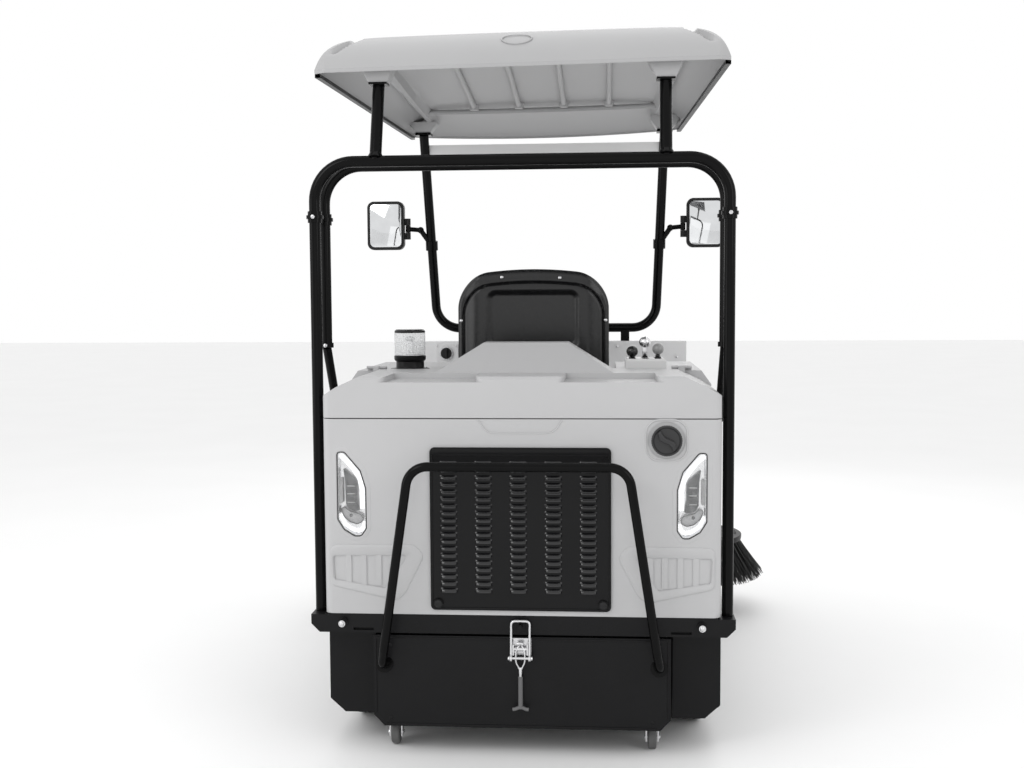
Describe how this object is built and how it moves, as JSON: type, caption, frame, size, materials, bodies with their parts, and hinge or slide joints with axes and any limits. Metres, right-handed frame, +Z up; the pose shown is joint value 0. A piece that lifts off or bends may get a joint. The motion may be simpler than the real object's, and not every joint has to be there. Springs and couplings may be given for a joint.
{
  "type": "ride on sweeper",
  "caption": "Ride on floor sweeper with roof, side and main brushes, pull out debris hopper, opening rear hood, seat and steering.",
  "frame": {"origin": "on the floor under the middle of the machine", "axes": "+Y is the direction of travel, +X is the driver's right, +Z is up"},
  "size_m": [1.804, 2.0659, 2.087],
  "materials": {
    "chassis_black": "satin black paint",
    "black_steel": "satin black powder coat",
    "black_panel": "semi gloss black powder coat",
    "gloss_black_tube": "gloss black powder coat",
    "grey_shell": "light grey moulded plastic, soft sheen",
    "roof_plastic": "light grey moulded plastic",
    "lamp_lens": "clear lens",
    "beacon_lens": "clear ribbed lens",
    "tank_plastic": "translucent white tank",
    "dark_plastic": "dark grey moulded",
    "battery_case": "black battery case",
    "filter_case": "grey case",
    "bare_steel": "machined",
    "seat_shell_plastic": "black moulded, soft gloss",
    "seat_vinyl": "black vinyl",
    "console_plastic": "off white moulded",
    "black_knob": "black knob",
    "chrome_knob": "polished",
    "grey_knob": "grey knob",
    "mirror_housing": "black moulded",
    "floor_steel": "dark grey tread plate",
    "wheel_rim_plastic": "black grip",
    "tyre_rubber": "black rubber",
    "flap_rubber": "black rubber",
    "bristle": "black nylon bristle",
    "zinc": "bright zinc plate",
    "caster_rubber": "dark rubber"
  },
  "bodies": {
    "root": {"chassis_frame": "chassis_black", "rear_beam": "black_steel", "side_skirts": "black_steel", "rear_shell": "grey_shell", "louvre_panel": "black_panel", "lamps": "lamp_lens", "water_tank": "tank_plastic", "battery_pack": "battery_case", "dust_filter": "filter_case", "seat_deck": "grey_shell", "seat_rails": "bare_steel", "lever_console": "console_plastic", "beacon": "beacon_lens", "rear_hoop": "gloss_black_tube", "second_hoop": "gloss_black_tube", "hoop_fittings": "gloss_black_tube", "front_hoop": "gloss_black_tube", "roof_canopy": "roof_plastic", "roof_stays": "gloss_black_tube", "header_panel": "roof_plastic", "footwell": "floor_steel", "front_cowl": "grey_shell", "front_bumper": "black_steel", "steering_column": "black_steel", "rear_axle": "bare_steel", "brush_shroud": "black_steel", "seal_flaps": "flap_rubber"},
    "hopper": {"hopper_bin": "black_steel", "hopper_handle": "gloss_black_tube", "latch_base": "zinc"},
    "caster_left": {"caster_fork_left": "zinc"},
    "caster_roller_left": {"caster_wheel_left": "caster_rubber"},
    "side_arm_left": {"side_brush_arm_left": "chassis_black"},
    "side_broom_left": {"side_brush_left": "bristle"},
    "mirror_head_left": {"mirror_left": "mirror_housing"},
    "rear_road_wheel_left": {"rear_wheel_left": "tyre_rubber"},
    "caster_right": {"caster_fork_right": "zinc"},
    "caster_roller_right": {"caster_wheel_right": "caster_rubber"},
    "side_arm_right": {"side_brush_arm_right": "chassis_black"},
    "side_broom_right": {"side_brush_right": "bristle"},
    "mirror_head_right": {"mirror_right": "mirror_housing"},
    "rear_road_wheel_right": {"rear_wheel_right": "tyre_rubber"},
    "latch_grip": {"latch_handle": "zinc"},
    "latch_loop": {"latch_bow": "zinc"},
    "rear_hood": {"hood": "grey_shell"},
    "seat": {"seat_shell": "seat_shell_plastic", "seat_cushion": "seat_vinyl", "seat_pad": "seat_vinyl"},
    "steering": {"steering_wheel": "wheel_rim_plastic"},
    "fork": {"front_fork": "chassis_black"},
    "front_road_wheel": {"front_wheel": "tyre_rubber"},
    "cradle": {"brush_cradle": "chassis_black"},
    "broom": {"main_brush": "bristle"},
    "lever_brush": {"brush_lever": "black_knob"},
    "lever_damper": {"damper_lever": "chrome_knob"},
    "lever_side": {"side_brush_lever": "grey_knob"},
    "pedal_brake": {"brake_pedal": "black_steel"},
    "pedal_drive": {"accelerator_pedal": "black_steel"},
    "cap": {"filler_cap": "dark_plastic"},
    "key": {"key_switch": "dark_plastic"}
  },
  "joints": [
    {"name": "hopper_slide", "type": "slide", "parent": "root", "child": "hopper", "axis": [0, -1, 0], "range_m": [0, 0.45]},
    {"name": "caster_swivel_left", "type": "hinge", "parent": "hopper", "child": "caster_left", "pos_m": [-0.372, -0.86, 0.06], "axis": [0, 0, 1], "continuous": true},
    {"name": "caster_spin_left", "type": "hinge", "parent": "caster_left", "child": "caster_roller_left", "pos_m": [-0.372, -0.845, 0.033], "axis": [1, 0, 0], "continuous": true},
    {"name": "rear_wheel_spin_left", "type": "hinge", "parent": "root", "child": "rear_road_wheel_left", "pos_m": [-0.4845, -0.56, 0.19], "axis": [1, 0, 0], "continuous": true},
    {"name": "mirror_swivel_left", "type": "hinge", "parent": "root", "child": "mirror_head_left", "pos_m": [-0.54, 0.52, 1.57], "axis": [0, 0, 1], "range_deg": [-25, 25]},
    {"name": "caster_swivel_right", "type": "hinge", "parent": "hopper", "child": "caster_right", "pos_m": [0.372, -0.86, 0.06], "axis": [0, 0, 1], "continuous": true},
    {"name": "caster_spin_right", "type": "hinge", "parent": "caster_right", "child": "caster_roller_right", "pos_m": [0.372, -0.845, 0.033], "axis": [1, 0, 0], "continuous": true},
    {"name": "rear_wheel_spin_right", "type": "hinge", "parent": "root", "child": "rear_road_wheel_right", "pos_m": [0.4845, -0.56, 0.19], "axis": [1, 0, 0], "continuous": true},
    {"name": "mirror_swivel_right", "type": "hinge", "parent": "root", "child": "mirror_head_right", "pos_m": [0.54, 0.52, 1.57], "axis": [0, 0, 1], "range_deg": [-25, 25]},
    {"name": "latch_swing", "type": "hinge", "parent": "hopper", "child": "latch_grip", "pos_m": [0, -0.952, 0.316], "axis": [-1, 0, 0], "range_deg": [0, 110]},
    {"name": "latch_loop_swing", "type": "hinge", "parent": "latch_grip", "child": "latch_loop", "pos_m": [0, -0.96, 0.292], "axis": [-1, 0, 0], "range_deg": [-110, 0]},
    {"name": "hood_lift", "type": "hinge", "parent": "root", "child": "rear_hood", "pos_m": [0, -0.566, 1.086], "axis": [-1, 0, 0], "range_deg": [0, 55]},
    {"name": "seat_slide", "type": "slide", "parent": "root", "child": "seat", "axis": [0, 1, 0], "range_m": [-0.03, 0.1]},
    {"name": "fork_steer", "type": "hinge", "parent": "root", "child": "fork", "pos_m": [0, 0.56, 0.35], "axis": [0, 0, 1], "range_deg": [-67.5, 67.5]},
    {"name": "front_wheel_spin", "type": "hinge", "parent": "fork", "child": "front_road_wheel", "pos_m": [0, 0.56, 0.17], "axis": [1, 0, 0], "continuous": true},
    {"name": "steering_turn", "type": "hinge", "parent": "root", "child": "steering", "pos_m": [0, 0.33, 1.13], "axis": [0, -0.5, 0.866], "range_deg": [-270, 270]},
    {"name": "brush_lift", "type": "hinge", "parent": "root", "child": "cradle", "pos_m": [0, 0, 0.29], "axis": [1, 0, 0], "range_deg": [-8, 0]},
    {"name": "main_brush_spin", "type": "hinge", "parent": "cradle", "child": "broom", "pos_m": [0, -0.17, 0.135], "axis": [1, 0, 0], "continuous": true},
    {"name": "side_arm_left", "type": "hinge", "parent": "root", "child": "side_arm_left", "pos_m": [-0.365, 0.3, 0.345], "axis": [1, 0, 0], "range_deg": [-11, 0]},
    {"name": "side_brush_spin_left", "type": "hinge", "parent": "side_arm_left", "child": "side_broom_left", "pos_m": [-0.672, 0.792, 0.3], "axis": [0, -0.0698, 0.9976], "continuous": true},
    {"name": "side_arm_right", "type": "hinge", "parent": "root", "child": "side_arm_right", "pos_m": [0.365, 0.3, 0.345], "axis": [1, 0, 0], "range_deg": [-11, 0]},
    {"name": "side_brush_spin_right", "type": "hinge", "parent": "side_arm_right", "child": "side_broom_right", "pos_m": [0.672, 0.792, 0.3], "axis": [0, -0.0698, 0.9976], "continuous": true},
    {"name": "brush_lever_tilt", "type": "hinge", "parent": "root", "child": "lever_brush", "pos_m": [0.322, -0.45, 1.092], "axis": [1, 0, 0], "range_deg": [-40, 0]},
    {"name": "damper_lever_tilt", "type": "hinge", "parent": "root", "child": "lever_damper", "pos_m": [0.362, -0.45, 1.092], "axis": [1, 0, 0], "range_deg": [-35, 35]},
    {"name": "side_lever_tilt", "type": "hinge", "parent": "root", "child": "lever_side", "pos_m": [0.402, -0.45, 1.092], "axis": [1, 0, 0], "range_deg": [-44, 0]},
    {"name": "brake_press", "type": "hinge", "parent": "root", "child": "pedal_brake", "pos_m": [-0.12, 0.402, 0.513], "axis": [-1, 0, 0], "range_deg": [0, 14], "stiffness_Nm_per_rad": 12, "springref_deg": -8.59},
    {"name": "drive_press", "type": "hinge", "parent": "root", "child": "pedal_drive", "pos_m": [0.16, 0.402, 0.513], "axis": [-1, 0, 0], "range_deg": [0, 14], "stiffness_Nm_per_rad": 12, "springref_deg": -8.59},
    {"name": "cap_turn", "type": "hinge", "parent": "root", "child": "cap", "pos_m": [0.407, -0.94, 0.904], "axis": [0, 1, 0], "range_deg": [0, 90]},
    {"name": "key_turn", "type": "hinge", "parent": "root", "child": "key", "pos_m": [-0.396, 0.545, 1.076], "axis": [0, 1, 0], "range_deg": [0, 90]}
  ],
  "couplings": [
    {"joint": "latch_loop_swing", "follows": "latch_swing", "ratio": -1},
    {"joint": "steering_turn", "follows": "fork_steer", "ratio": 4},
    {"joint": "brush_lever_tilt", "follows": "brush_lift", "ratio": 5},
    {"joint": "side_arm_right", "follows": "side_arm_left", "ratio": 1},
    {"joint": "side_lever_tilt", "follows": "side_arm_left", "ratio": 4}
  ]
}
